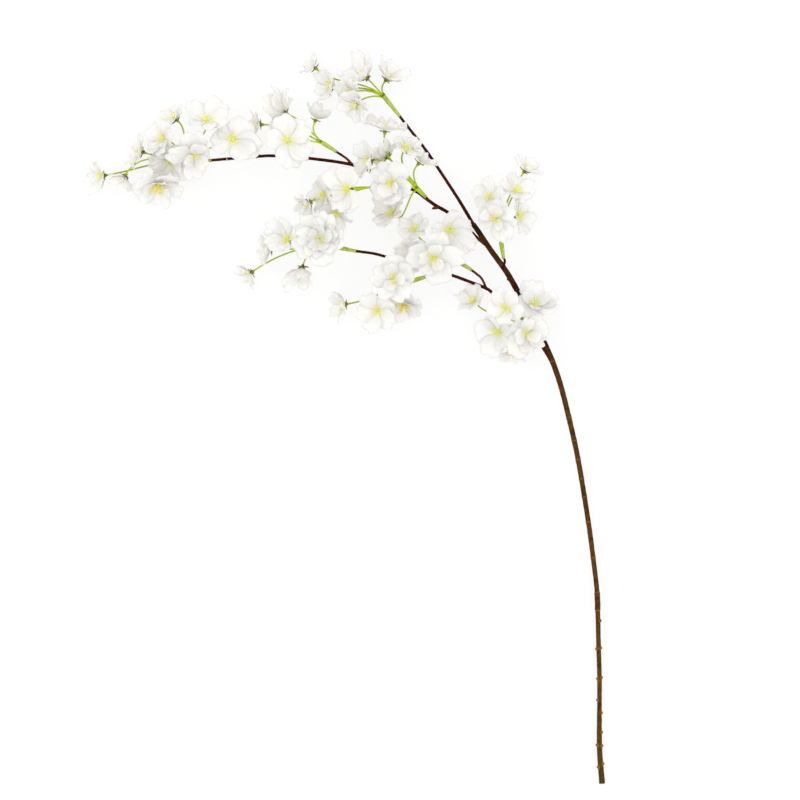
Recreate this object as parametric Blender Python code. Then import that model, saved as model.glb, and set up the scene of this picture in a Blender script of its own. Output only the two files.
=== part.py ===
"""Cherry blossom sprig: a cut spray of white blossoms on a wire stem, lying on a flat surface.

+Y runs up the stem towards the blossoms, +X to the stem's foot side and +Z is up. The origin is the
middle of the spray's footprint, on the surface that it lies on. Every length below is in millimetres
and becomes metres where a mesh is made.
"""

import math
from typing import NamedTuple

import bmesh
import bpy
from mathutils import Matrix, Vector
from mathutils.bvhtree import BVHTree

MM = 0.001
WELD = 0.000005  # metres

# Gaps and steps of the build
TOUCH_GAP = 0.35  # left between neighbours that touch
LIFT_STEP = 1.0  # a blossom rises by this until nothing is in its way
MOST_LIFT = 70.0  # past this it has no place
ROUTE_STEP = 17.0  # between the rings of a stem
BUTT_GAP = 0.4  # from the end of a twig to the sleeve on it

# Stems: radii from foot to end
STEM_SIDES = 8
TWIG_SIDES = 6
STEM_RADII = (3.2, 2.5, 2.7, 2.8, 2.9, 3.0, 2.9, 2.5)
TOP_RADII = (2.2, 1.9, 1.7, 1.6)
ARCHING_RADII = (1.8, 1.9, 1.8, 1.7, 1.6)
LOWER_RADII = (1.7, 1.8, 1.7, 1.6)
TWIG_RADII = (1.3, 1.4)
RING_SWELL = 1.22  # a node ring's radius over the stem's
RING_HALF_WIDTH = 1.3
BUD_RADII = (1.6, 1.3, 0.4)
BUD_SHOULDER = 0.6  # where a bud is still wide, as a share of its length

# Flower stalks: a green sleeve on the twig, then one thin stalk and calyx for each blossom
STALK_SIDES = 5
SLEEVE_RADII = (1.7, 2.2, 2.6, 2.4)
SLEEVE_SHARES = (0.0, 0.3, 0.8, 1.0)
SLEEVE_PAST_HUB = 2.0
STALK_RADIUS = 0.75
CALYX_LENGTH = 6.0
CALYX_RADII = (0.9, 2.3, 2.6)
CALYX_SHOULDER = 0.55
STALK_BOW = 0.36  # how far a stalk keeps its first and last heading, as a share of its length
STALK_ROOT, STALK_STAGGER = 1.5, 0.35  # how deep the first stalk starts, and each next one
STALK_OFFSET = 1.0  # off the sleeve's axis

# Blossoms: five petals joined at the middle
PETALS = 5
PETAL_THICKNESS = 1.0
PETAL_TURNS = (-0.5, -0.29, 0.0, 0.29)  # outline points, as shares of a petal's angle
PETAL_REACHES = (0.74, 0.97, 1.0, 0.97)  # how far out each lies, as a share of the radius
WHORL_RINGS = (0.5, 1.0)
CUP_POWER = 1.5
SMALL_WIDTH, LARGE_WIDTH = 35.0, 46.0  # a bud that has just opened, and a full blossom
SMALL_CUP, MEDIUM_CUP, LARGE_CUP = 0.62, 0.45, 0.30  # rim height over radius

# Colours
BARK_OLIVE = (0.105, 0.055, 0.022, 1.0)
BARK_RED = (0.085, 0.018, 0.008, 1.0)
STALK_GREEN = (0.20, 0.34, 0.03, 1.0)
PETAL_WHITE = (0.88, 0.87, 0.86, 1.0)

# Routes, foot to end: each point is right, up and height of the centreline
STEM_ROUTE = (
    (282, -404, 3.2), (279, -362, 4), (279, -292, 5), (278, -255, 6), (277, -214, 7),
    (276, -190, 7.5), (272, -156, 9), (266, -112, 11), (255, -46, 14), (245, -1, 17),
    (234, 41, 20), (221, 75, 22), (204, 109, 24), (188, 139, 26), (176, 160, 27),
    (158, 185, 28), (146, 203, 29), (139, 213, 29.5),
)
TOP_ROUTE = (
    (138.6, 213.8, 29.4), (123, 240, 28), (99, 277, 24), (86, 296, 23), (65, 323, 25), (58, 332, 26),
)
ARCHING_ROUTE = (
    (145.5, 193, 28), (140.5, 200, 28), (135, 207, 28), (126, 216.5, 28), (118.5, 221, 28),
    (108.5, 227.5, 27.5), (97, 234, 27), (86, 242, 27), (75.5, 249.5, 26), (45, 264, 25),
    (7, 278, 24), (-38.5, 285, 24), (-78, 288, 24), (-97, 287.5, 24), (-139, 284, 25),
    (-150, 283, 25),
)
LOWER_ROUTE = (
    (217.3, 70.5, 22), (212.5, 81, 22.5), (204.5, 93, 23), (190, 112, 24), (175, 125, 25),
    (162.5, 135, 25), (154, 142, 25), (130.5, 151.5, 25), (113, 157.5, 25), (88, 164, 24),
    (73.5, 167, 24), (59.5, 173, 24), (47, 176, 24), (30.5, 180.5, 24), (9, 183.5, 24),
)
SIDE_TWIG = ((172, 165, 27.5), (174, 172, 28), (172.5, 176, 28.5))
BASE_TWIG = ((220, 80, 22.5), (218, 84.5, 27), (214.5, 87.7, 29.2))
ARCH_TWIG = ((7, 278, 24), (0, 285, 24.5), (-12, 293, 25))
INNER_TWIG = ((74, 250.5, 26), (62, 252.5, 27), (50, 253, 27.5))
MIDDLE_TWIG = ((89, 240, 27), (88.5, 241, 31), (86.5, 243, 33))
FORK_TWIG = ((154, 142, 25), (148.5, 153, 26), (142.5, 158.5, 26), (136.5, 163, 26))
LOWER_TWIG = ((96, 162, 24.5), (94.5, 159, 25), (92, 156.5, 25.5))

# Where the stem swells into a ring, by how far up it is
STEM_RINGS = (-362, -291, -254, -213, -192, -25, 1, 62)
# Blunt knobs on the stem: how far up, and which side (1 is right)
STEM_KNOBS = (
    (-224, 1), (-254, 1), (-255, -1), (-286, 1), (-288, -1), (-311, -1), (-326, 1), (-347, 1),
    (-362, 1), (-361, -1), (-382, 1), (-386, -1), (152, -1),
)
KNOB_RADIUS, KNOB_LENGTH = 1.5, 2.6
KNOB_FORWARD, KNOB_RISE = 0.35, 0.25  # how far a knob turns up the stem and upwards, to 1 sideways
SHARP_ANGLE = 50.0  # degrees; faces that meet more gently are shaded smooth


class Bud(NamedTuple):
    """A pointed bud scale: its root on a branch, and its point."""

    root: tuple
    point: tuple


ARCHING_BUDS = (
    Bud((119.5, 220.5, 28), (114, 219, 29.5)),
    Bud((101, 232, 27.2), (93.5, 229.5, 28)),
    Bud((-97, 287.5, 24), (-99.5, 291.5, 24.5)),
)


class Blossom(NamedTuple):
    """One flower: its middle from the hub, which way it leans and how far, its width and its own turn."""

    right: float
    up: float
    rise: float
    heading: float
    lean: float
    width: float
    turn: float


class Spray(NamedTuple):
    """One green pick: where its sleeve starts, its hub, and the flowers on it, lowest first."""

    name: str
    start: tuple
    hub: tuple
    blossoms: tuple


SPRAYS = (
    Spray("tip", (-150.4, 283, 25), (-171, 284, 26), (
        Blossom(-102, -18, -10, 191, 60, 34, 10),
        Blossom(-59, 10, -8, 165, 75, 38, 30),
        Blossom(-37, -30, -6, 270, 55, 54, 0),
        Blossom(-32, 23, 12, 165, 40, 38, 50),
        Blossom(47, 21, 14, 0, 10, 56, 18),
        Blossom(5, 2, 20, 300, 25, 51, 40),
        Blossom(18, 43, 20, 90, 40, 50, 0),
    )),
    Spray("arch", (-12.4, 293.4, 25), (-26, 302, 27), (
        Blossom(-75, 21, -12, 180, 80, 32, 0),
        Blossom(-46, 35, -6, 156, 110, 42, 25),
        Blossom(-6, 32, -10, 70, 85, 32, 10),
        Blossom(-38, 2, 20, 0, 10, 55, 30),
    )),
    Spray("crown", (57.6, 332.6, 26), (42, 352, 28), (
        Blossom(-81, 37, -18, 142, 75, 27, 0),
        Blossom(-63, 14, -12, 174, 55, 34, 15),
        Blossom(5, 25, -8, 54, 65, 42, 5),
        Blossom(-24, 26, -6, 137, 60, 44, 40),
        Blossom(-33, -10, 12, 225, 45, 39, 20),
    )),
    Spray("middle", (86.2, 243.3, 33.2), (79, 250.5, 34), (
        Blossom(-36, 70, -12, 83, 85, 44, 0),
        Blossom(-57, 33, 8, 176, 65, 42, 20),
        Blossom(-31, -24, -14, 145, 55, 42, 10),
        Blossom(-13, 47, 10, 60, 45, 44, 55),
        Blossom(-30, 6, 22, 180, 20, 48, 25),
    )),
    Spray("inner", (49.6, 253, 27.5), (30, 254, 28), (
        Blossom(-57, -9, -4, 180, 60, 42, 40),
        Blossom(-30, -4, 20, 180, 25, 50, 15),
    )),
    Spray("outer", (8.6, 183.6, 24), (-8, 187, 25), (
        Blossom(-102, -30, -12, 214, 75, 30, 0),
        Blossom(-42, -26, -8, 255, 65, 37, 25),
        Blossom(-58, 9, 10, 180, 25, 44, 10),
        Blossom(-21, 9, 22, 180, 10, 55, 36),
    )),
    Spray("fork", (136.1, 163.3, 26), (125, 170.5, 27), (
        Blossom(-52, 10, 0, 235, 40, 42, 15),
        Blossom(-51, 38, 4, 115, 35, 36, 45),
        Blossom(-30, 5, 12, 270, 15, 55, 0),
        Blossom(-13, 35, 16, 300, 12, 53, 25),
    )),
    Spray("lower", (91.6, 156.4, 25.5), (74, 151, 26), (
        Blossom(-81, -27, -14, 191, 65, 34, 10),
        Blossom(-11, -28, -8, 270, 45, 39, 0),
        Blossom(-41, -34, 2, 225, 25, 44, 30),
        Blossom(-22, 1, 18, 180, 10, 48, 54),
    )),
    Spray("base", (213, 88.7, 29.8), (190, 104, 31), (
        Blossom(-8, -36, -20, 265, 75, 30, 0),
        Blossom(-52, 26, -8, 135, 50, 34, 20),
        Blossom(-24, -10, 4, 200, 20, 47, 40),
        Blossom(16, 22, 10, 80, 35, 48, 10),
        Blossom(7, -12, 16, 0, 12, 49, 30),
        Blossom(-16, 16, 22, 120, 15, 39, 0),
    )),
    Spray("side", (172.4, 176.6, 28.6), (170, 192, 30), (
        Blossom(29, 84, -17, 55, 70, 36, 5),
        Blossom(22, 31, -8, 13, 65, 44, 30),
        Blossom(17, 59, 4, 60, 45, 39, 20),
        Blossom(-14, 51, 8, 110, 25, 36, 50),
        Blossom(-8, 26, 16, 200, 12, 48, 15),
    )),
)


def remove_everything():
    for thing in list(bpy.data.objects):
        bpy.data.objects.remove(thing, do_unlink=True)


def finish(name, colour, roughness):
    """A plain material of one colour."""
    material = bpy.data.materials.new(name)
    material.use_nodes = True
    shader = material.node_tree.nodes["Principled BSDF"]
    shader.inputs["Base Color"].default_value = colour
    shader.inputs["Roughness"].default_value = roughness
    shader.inputs["Metallic"].default_value = 0.0
    return material


def smooth_route(points, step=ROUTE_STEP):
    """Points along a Catmull-Rom curve through the given ones, about a step apart."""
    ends = [Vector(p) for p in points]
    ends = [2 * ends[0] - ends[1], *ends, 2 * ends[-1] - ends[-2]]
    route = []
    for a, b, c, d in zip(ends, ends[1:], ends[2:], ends[3:]):
        pieces = max(1, round((c - b).length / step))
        for i in range(pieces):
            t = i / pieces
            route.append(0.5 * (
                2 * b + (c - a) * t + (2 * a - 5 * b + 4 * c - d) * t ** 2
                + (3 * b - a - 3 * c + d) * t ** 3
            ))
    return route + [ends[-2]]


def spread(values, share):
    """The value at a share of the way along a short list, between its neighbours."""
    place = share * (len(values) - 1)
    low = min(int(place), len(values) - 2)
    return values[low] + (values[low + 1] - values[low]) * (place - low)


def with_rings(route, radii, rings):
    """Adds a narrow swelling to a stem wherever its height up the spray is one of rings."""
    out_route, out_radii = [], []
    for here, after, radius in zip(route, route[1:] + [None], radii):
        out_route.append(here)
        out_radii.append(radius)
        if after is None:
            break
        for ring in rings:
            if here.y <= ring < after.y:
                along = (after - here).normalized()
                middle = here.lerp(after, (ring - here.y) / (after.y - here.y))
                for side, swell in ((-1, 1.0), (0, RING_SWELL), (1, 1.0)):
                    out_route.append(middle + along * RING_HALF_WIDTH * side)
                    out_radii.append(radius * swell)
    ordered = sorted(zip([p.y for p in out_route], range(len(out_route))))
    return [out_route[i] for _, i in ordered], [out_radii[i] for _, i in ordered]


def sweep(route, radii, sides):
    """A closed tube along a route, as a bmesh in metres. Its ends are flat."""
    tube = bmesh.new()
    heading = (route[1] - route[0]).normalized()
    across = heading.cross(Vector((0, 0, 1)))
    across = (across if across.length > 0.1 else heading.cross(Vector((1, 0, 0)))).normalized()
    rings = []
    for i, (point, radius) in enumerate(zip(route, radii)):
        before, after = route[max(i - 1, 0)], route[min(i + 1, len(route) - 1)]
        turned = (after - before).normalized()
        across = (heading.rotation_difference(turned) @ across).normalized()
        heading = turned
        rise = heading.cross(across)
        angles = [2 * math.pi * k / sides for k in range(sides)]
        rings.append([
            tube.verts.new((point + (across * math.cos(a) + rise * math.sin(a)) * radius) * MM)
            for a in angles
        ])
    for low, high in zip(rings, rings[1:]):
        for k in range(sides):
            tube.faces.new((low[k - 1], low[k], high[k], high[k - 1]))
    tube.faces.new(reversed(rings[0]))
    tube.faces.new(rings[-1])
    bmesh.ops.recalc_face_normals(tube, faces=tube.faces)
    return tube


def cup_of(width):
    if width < SMALL_WIDTH:
        return SMALL_CUP
    return MEDIUM_CUP if width < LARGE_WIDTH else LARGE_CUP


def whorl(width, thickness=PETAL_THICKNESS, margin=0.0):
    """Five cupped petals as one closed solid, base at the origin and opening along +Z."""
    flower = bmesh.new()
    radius, cup = width / 2, cup_of(width)
    layers = []
    for drop in (-margin, thickness + margin):
        middle = flower.verts.new((0, 0, drop * MM))
        rings = []
        for share in WHORL_RINGS:
            ring = []
            for petal in range(PETALS):
                for turn, reach in zip(PETAL_TURNS, PETAL_REACHES):
                    angle = 2 * math.pi * (petal + turn) / PETALS
                    out = share * (reach if share == 1.0 else 1.0)
                    height = cup * radius * out ** CUP_POWER + drop
                    far = radius * out + (margin if share == 1.0 else 0.0)
                    place = (far * math.cos(angle), far * math.sin(angle), height)
                    ring.append(flower.verts.new(Vector(place) * MM))
            rings.append(ring)
        layers.append((middle, rings))
    count = PETALS * len(PETAL_TURNS)
    for middle, rings in layers:
        for k in range(count):
            flower.faces.new((middle, rings[0][k - 1], rings[0][k]))
            for low, high in zip(rings, rings[1:]):
                flower.faces.new((low[k - 1], high[k - 1], high[k], low[k]))
    under, over = layers[0][1][-1], layers[1][1][-1]
    for k in range(count):
        flower.faces.new((under[k - 1], under[k], over[k], over[k - 1]))
    bmesh.ops.recalc_face_normals(flower, faces=flower.faces)
    return flower


def facing(blossom):
    """The rotation that turns +Z to the way a blossom opens."""
    heading = Matrix.Rotation(math.radians(blossom.heading), 3, "Z")
    lean = Matrix.Rotation(math.radians(blossom.lean), 3, "Y")
    return heading @ lean @ Matrix.Rotation(math.radians(blossom.turn), 3, "Z")


def base_of(blossom, hub, lift):
    """Where a blossom's petals meet its calyx. Its stated place is the middle of its cup."""
    half_cup = cup_of(blossom.width) * blossom.width / 4
    middle = hub + Vector((blossom.right, blossom.up, blossom.rise + lift))
    return middle - facing(blossom) @ Vector((0, 0, half_cup))


def stalk_route(spray, number, base, opening):
    """From inside the sleeve to a blossom's calyx: out along the sleeve, and in from behind the petals."""
    along = (Vector(spray.hub) - Vector(spray.start)).normalized()
    end = base - opening * TOUCH_GAP
    neck = end - opening * CALYX_LENGTH
    towards = neck - Vector(spray.hub)
    sideways = (towards - along * towards.dot(along)).normalized()
    hub = Vector(spray.hub) - along * (STALK_ROOT + STALK_STAGGER * number) + sideways * STALK_OFFSET
    bow = (neck - hub).length * STALK_BOW
    first = hub + along * bow
    second = neck - opening * bow
    route = []
    for i in range(5):
        t = i / 4
        route.append(
            hub * (1 - t) ** 3 + first * 3 * t * (1 - t) ** 2
            + second * 3 * t * t * (1 - t) + neck * t ** 3
        )
    return route + [neck + opening * CALYX_LENGTH * CALYX_SHOULDER, end]


def stalk(spray, number, base, opening, margin=0.0):
    route = stalk_route(spray, number, base, opening)
    radii = [STALK_RADIUS] * 4 + list(CALYX_RADII)
    return sweep(route, [r + margin for r in radii], STALK_SIDES)


def tree_of(shape):
    return BVHTree.FromBMesh(shape)


def placed(shape, turn, base):
    shape.transform(Matrix.Translation(base * MM) @ turn.to_4x4())
    return shape


def is_clear(shape, others):
    own = tree_of(shape)
    return not any(own.overlap(other) for other in others)


def low_point(shape):
    return min(v.co.z for v in shape.verts) / MM


def settle(spray, number, others, own_stalks):
    """Raises a blossom, stalk and all, until it is clear of what is there, and returns both solids."""
    blossom = spray.blossoms[number - 1]
    turn, hub = facing(blossom), Vector(spray.hub)
    opening = turn @ Vector((0, 0, 1))
    lift = 0.0
    while lift <= MOST_LIFT:
        base = base_of(blossom, hub, lift)
        petals = placed(whorl(blossom.width, margin=TOUCH_GAP), turn, base)
        if low_point(petals) < 0:
            lift -= low_point(petals)
            continue
        stem = stalk(spray, number, base, opening, margin=TOUCH_GAP)
        if is_clear(petals, others + own_stalks) and is_clear(stem, others):
            return placed(whorl(blossom.width), turn, base), stalk(spray, number, base, opening)
        lift += LIFT_STEP
    raise ValueError(f"{spray.name} blossom {number} has no clear place")


def as_object(name, shape, material, parent):
    """Gives a bmesh its own object, smooth on its round faces."""
    mesh = bpy.data.meshes.new(name)
    bmesh.ops.triangulate(shape, faces=shape.faces)
    shape.to_mesh(mesh)
    shape.free()
    mesh.shade_smooth()
    mesh.set_sharp_from_angle(angle=math.radians(SHARP_ANGLE))
    mesh.materials.append(material)
    made = bpy.data.objects.new(name, mesh)
    bpy.context.collection.objects.link(made)
    made.parent = parent
    return made


def fused(shapes):
    """One closed solid from several that run into each other."""
    objects = []
    for i, shape in enumerate(shapes):
        mesh = bpy.data.meshes.new(f"fusing_{i}")
        shape.to_mesh(mesh)
        shape.free()
        helper = bpy.data.objects.new(f"fusing_{i}", mesh)
        bpy.context.collection.objects.link(helper)
        objects.append(helper)
    for other in objects[1:]:
        union = objects[0].modifiers.new("union", "BOOLEAN")
        union.operation = "UNION"
        union.solver = "EXACT"
        union.object = other
    graph = bpy.context.evaluated_depsgraph_get()
    whole = bmesh.new()
    whole.from_mesh(objects[0].evaluated_get(graph).to_mesh())
    for helper in objects:
        bpy.data.objects.remove(helper, do_unlink=True)
    bmesh.ops.remove_doubles(whole, verts=whole.verts, dist=WELD)
    return whole


def stem_shape(route, radii, sides, rings=()):
    points = smooth_route(route)
    widths = [spread(radii, i / (len(points) - 1)) for i in range(len(points))]
    if rings:
        points, widths = with_rings(points, widths, rings)
    return sweep(points, widths, sides)


def twig_shape(route):
    return stem_shape(route, TWIG_RADII, TWIG_SIDES)


def bud_shape(bud):
    root, point = Vector(bud.root), Vector(bud.point)
    route = [root, root.lerp(point, BUD_SHOULDER), point]
    return sweep(route, BUD_RADII, TWIG_SIDES)


def knob_shape(up, side):
    """A blunt knob that stands out from the stem to one side."""
    points = smooth_route(STEM_ROUTE, 5.0)
    near = min(points, key=lambda p: abs(p.y - up))
    middle = Vector((near.x, up, near.z))
    share = (up - STEM_ROUTE[0][1]) / (STEM_ROUTE[-1][1] - STEM_ROUTE[0][1])
    radius = spread(STEM_RADII, share)
    out = Vector((side, KNOB_FORWARD, KNOB_RISE)).normalized()
    route = [middle + out * far for far in (radius * 0.3, radius, radius + KNOB_LENGTH / 2)]
    return sweep(route, (KNOB_RADIUS, KNOB_RADIUS, KNOB_RADIUS * 0.6), TWIG_SIDES)


def stems():
    """The stem and its three branches, each one solid with the twigs and buds that grow from it."""
    stem = [stem_shape(STEM_ROUTE, STEM_RADII, STEM_SIDES, STEM_RINGS)]
    stem += [twig_shape(SIDE_TWIG), twig_shape(BASE_TWIG)]
    stem += [knob_shape(up, side) for up, side in STEM_KNOBS]
    arching = [stem_shape(ARCHING_ROUTE, ARCHING_RADII, TWIG_SIDES)]
    arching += [twig_shape(route) for route in (ARCH_TWIG, INNER_TWIG, MIDDLE_TWIG)]
    arching += [bud_shape(bud) for bud in ARCHING_BUDS]
    lower = [stem_shape(LOWER_ROUTE, LOWER_RADII, TWIG_SIDES)]
    lower += [twig_shape(route) for route in (FORK_TWIG, LOWER_TWIG)]
    return {
        "main_stem": fused(stem),
        "top_branch": stem_shape(TOP_ROUTE, TOP_RADII, TWIG_SIDES),
        "arching_branch": fused(arching),
        "lower_branch": fused(lower),
    }


def sleeve_shape(spray):
    """The green sleeve on a twig's end, widening to the hub that the stalks leave."""
    start, hub = Vector(spray.start), Vector(spray.hub)
    along = (hub - start).normalized()
    first = start + along * BUTT_GAP
    last = hub + along * SLEEVE_PAST_HUB
    route = [first.lerp(last, share) for share in SLEEVE_SHARES]
    return sweep(route, SLEEVE_RADII, TWIG_SIDES)


def build():
    remove_everything()
    bark = finish("olive_bark", BARK_OLIVE, 0.6)
    red_bark = finish("red_bark", BARK_RED, 0.5)
    green = finish("stalk_green", STALK_GREEN, 0.5)
    white = finish("petal_white", PETAL_WHITE, 0.8)
    middle = bpy.data.objects.new("sprig_middle", None)
    bpy.context.collection.objects.link(middle)

    solids = []
    trees = []
    for name, shape in stems().items():
        trees.append(tree_of(shape))
        solids.append(as_object(name, shape, bark if name == "main_stem" else red_bark, middle))

    for spray in SPRAYS:
        own_stalks = []
        green_parts = [sleeve_shape(spray)]
        own_stalks.append(tree_of(green_parts[0]))
        petal_trees = []
        for number in range(1, len(spray.blossoms) + 1):
            petals, stem = settle(spray, number, trees + petal_trees, own_stalks)
            petal_trees.append(tree_of(petals))
            own_stalks.append(tree_of(stem))
            green_parts.append(stem)
            name = f"{spray.name}_blossom_{number}"
            solids.append(as_object(name, petals, white, middle))
        solids.append(as_object(f"{spray.name}_stalks", fused(green_parts), green, middle))
        trees += petal_trees + own_stalks

    corners = [v.co for solid in solids for v in solid.data.vertices]
    low = Vector(map(min, zip(*corners)))
    high = Vector(map(max, zip(*corners)))
    middle.location = (-(low.x + high.x) / 2, -(low.y + high.y) / 2, -low.z)


build()
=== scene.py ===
"""Cherry blossom spray, finished: fabric petals, thread stamens, moulded stalks and coated stems.

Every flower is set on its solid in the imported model, and the stalks and stems follow the model's own
routes. Lengths below are in millimetres and become metres where a mesh is made.
"""

import math
from typing import NamedTuple

import bpy
import numpy as np
from mathutils import Matrix, Vector, kdtree, noise


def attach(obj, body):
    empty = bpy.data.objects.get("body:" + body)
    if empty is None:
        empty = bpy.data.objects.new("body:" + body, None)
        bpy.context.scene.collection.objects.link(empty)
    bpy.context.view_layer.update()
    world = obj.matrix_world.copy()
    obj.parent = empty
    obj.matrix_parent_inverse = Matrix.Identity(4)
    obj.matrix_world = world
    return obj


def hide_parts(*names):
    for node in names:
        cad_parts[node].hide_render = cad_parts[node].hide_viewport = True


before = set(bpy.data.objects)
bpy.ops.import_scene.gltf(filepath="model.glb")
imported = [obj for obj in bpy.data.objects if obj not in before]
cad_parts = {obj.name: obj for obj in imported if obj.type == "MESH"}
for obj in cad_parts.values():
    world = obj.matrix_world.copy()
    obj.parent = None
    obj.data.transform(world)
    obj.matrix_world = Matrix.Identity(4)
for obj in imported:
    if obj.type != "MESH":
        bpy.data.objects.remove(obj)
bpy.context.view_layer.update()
SCENE = bpy.context.scene

MM = 0.001
SHIFT = np.array((0.642, 0.707, 0.0))  # from the routes' zero to the model's, mm

# Flowers
PETALS = 5
CUP_POWER = 1.5  # how a petal climbs from the middle to its rim
SHEET_LIFT = 0.5  # mm, the middle of a petal's cloth over the flower's base
CLOTH = 0.36  # mm
GROUND_GAP, GROUND_BEND = 0.3, 0.8  # mm, how close cloth comes to the ground, and how softly it bends
COLUMNS, ROWS = 23, 18  # corners over a petal, and up it
CLAW_START, CLAW_HALF = 0.05, 0.075  # shares of the flower's radius
PETAL_HALF = 0.53
RIM_DROP, RIM_POWER = 0.40, 3.8
NOTCH_WIDTH = 0.16
RIM_WOBBLE = 0.03
PLEATS, PLEAT_DEPTH = 14, 0.02
RUFFLE_DEPTH, WAVE_DEPTH, CRUMPLE_DEPTH = 0.075, 0.06, 0.012
# How petals differ from each other: the least and the most of each
LEANS, LENGTHS, WIDTHS = (-0.12, 0.12), (0.98, 1.14), (0.88, 1.12)
NOTCHES, RIM_WAVES = (0.0, 0.10), (5, 9)
SPOONS, FOLDS, CURLS, CLIMBS = (0.04, 0.20), (-0.05, 0.22), (-0.22, 0.05), (-0.06, 0.10)
TWISTS, PETAL_TURNS = (0.09, 0.17), (-0.06, 0.06)  # one side over the next petal, and off its place
FULL_FLOWERS = (  # those with three small petals inside
    "tip_blossom_3", "tip_blossom_6", "middle_blossom_5", "fork_blossom_3",
    "lower_blossom_2", "lower_blossom_4", "base_blossom_4", "base_blossom_5", "side_blossom_5",
    "tip_filler_2",
)
INNER_PETALS = 3
INNER_SIZES, INNER_CLIMBS = (0.5, 0.7), (0.35, 0.7)
# Uneven flowers: where each petal points as seen from above (0 is right, 90 is up), and its reach in mm
LOBES = {
    "arch_blossom_2": ((66, 27), (100, 22), (20, 16), (246, 20), (170, 14)),
    "outer_blossom_3": ((100, 22), (150, 22), (200, 19), (250, 12), (40, 16)),
    "middle_blossom_4": ((148, 14), (95, 10), (42, 12), (205, 10), (322, 20)),
    "inner_blossom_2": ((80, 22), (136, 27), (200, 18), (304, 26), (252, 25)),
    "arch_blossom_4": ((188, 22), (266, 28), (329, 30), (32, 28), (108, 26)),
    "fork_blossom_3": ((292, 30), (3, 33), (160, 29), (228, 19), (80, 25)),
    "fork_blossom_4": ((75, 21), (8, 25), (326, 31), (180, 17), (262, 15)),
    "base_blossom_3": ((168, 24), (122, 20), (245, 25), (300, 19), (20, 15)),
    "base_blossom_4": ((100, 22), (20, 26), (335, 25), (255, 20), (172, 17)),
    "base_blossom_5": ((336, 23), (35, 23), (280, 21), (230, 27), (140, 18)),
    "base_blossom_6": ((115, 21), (190, 19), (265, 18), (335, 20), (45, 19)),
    "side_blossom_5": ((192, 18), (298, 26), (5, 24), (60, 20), (122, 18)),
    "tip_blossom_5": ((58, 26), (352, 29), (303, 25), (187, 24), (125, 18)),
    "tip_blossom_6": ((272, 23), (340, 16), (95, 27), (165, 27), (48, 18)),
    "tip_blossom_7": ((140, 24), (55, 27), (355, 24), (190, 17), (285, 12)),
}
# Flowers still half shut: how much more their petals climb than an open flower's
BELLS = {"outer_blossom_2": 0.75, "crown_blossom_3": 0.45, "crown_blossom_4": 0.4, "arch_blossom_3": 0.3}
BELL_SIZE = 0.9
LONGEST_LOBE = 1.35  # of the flower's radius
WIDEST_PETAL = 1.05  # of a plain petal's width, however long the petal
DOUBLE_FLOWER = "outer_blossom_4"
DOUBLE_RINGS = ((0.8, 0.5, 0.22, 1.4), (0.52, 0.2, 0.3, 2.4))  # size, turn, climb and lift in mm
GOLDEN_FLOWERS = ("tip_blossom_3", "lower_blossom_2")
SMALL_WIDTH, LARGE_WIDTH = 35.0, 46.0  # mm, a bud that has just opened, and a full blossom
SMALL_CUP, MEDIUM_CUP, LARGE_CUP = 0.62, 0.45, 0.30

# Parts that repeat on each flower, at full size; on a smaller flower they are a share of it
FULL_RADIUS = 27.0
STAMEN_SIZES, SEPAL_SIZES = (0.55, 0.45), (0.8, 0.35)
STAMENS, GOLDEN_STAMENS, GOLDEN_SIZE = 10, 18, 1.25
STAMEN_FOOT, SEPAL_FOOT = 0.5, -0.75  # up the flower from its base
STAMEN_HEIGHT, THREAD_LENGTH, THREAD_BOW = 9.0, 8.0, 0.9
THREAD_RADII = (0.33, 0.30, 0.27, 0.27, 0.28)
HEAD_MIDDLE, HEAD_LEAN = 8.3, 0.25
HEAD_PROFILE = ((-0.9, 0.25), (-0.6, 0.50), (0.0, 0.60), (0.6, 0.50), (0.9, 0.25))
THROAT_PROFILE = ((0.0, 1.7), (0.35, 1.65), (0.75, 1.45), (1.05, 1.1), (1.25, 0.65), (1.35, 0.2))
SEPAL_LENGTH, SEPAL_HALF, BRACT_LENGTH, BRACT_HALF = 5.2, 1.15, 4.5, 0.9
SEPAL_START, SEPAL_KEEL, SEPAL_BEND = 1.5, 0.5, 0.9
# How each stands in its whorl: tilts off the way the flower opens, and turns, in radians
STAMEN_WHORL = {"Tilt": 0.66, "Tilt Spread": 0.36, "Turn Spread": 0.4, "Size Spread": 0.16}
THROAT_WHORL = {"Count": 1, "Tilt": 0.0, "Tilt Spread": 0.0, "Turn Spread": 0.5, "Size Spread": 0.0}
SEPAL_WHORL = {"Count": 5, "Tilt": 1.72, "Tilt Spread": 0.2, "Turn Spread": 0.12, "Size Spread": 0.12}
BRACT_WHORL = {"Count": 5, "Tilt": 0.42, "Tilt Spread": 0.22, "Turn Spread": 0.3, "Size Spread": 0.2}

# Stalks
STALK_RADIUS = 0.95
STALK_BOW = 0.36
STALK_ROOT, STALK_STAGGER, STALK_OFFSET = 1.5, 0.35, 1.0
CALYX_LENGTH = 6.0
TOUCH_GAP = 0.35
STALK_SEED = 1000
SLEEVE_GRIP, SLEEVE_PAST_HUB = 1.6, 2.0  # how far a sleeve reaches back over its twig, and past its hub
CALYX_PROFILE = (  # share of the calyx's length, radius
    (0.0, 1.0), (0.14, 1.1), (0.3, 1.45), (0.5, 2.0), (0.7, 2.25), (0.88, 2.4), (1.0, 2.15),
)
SLEEVE_PROFILE = (
    (0.0, 2.0), (0.04, 2.15), (0.1, 1.8), (0.3, 2.05), (0.55, 2.35), (0.8, 2.6), (0.93, 2.5), (1.0, 1.9),
)

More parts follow.
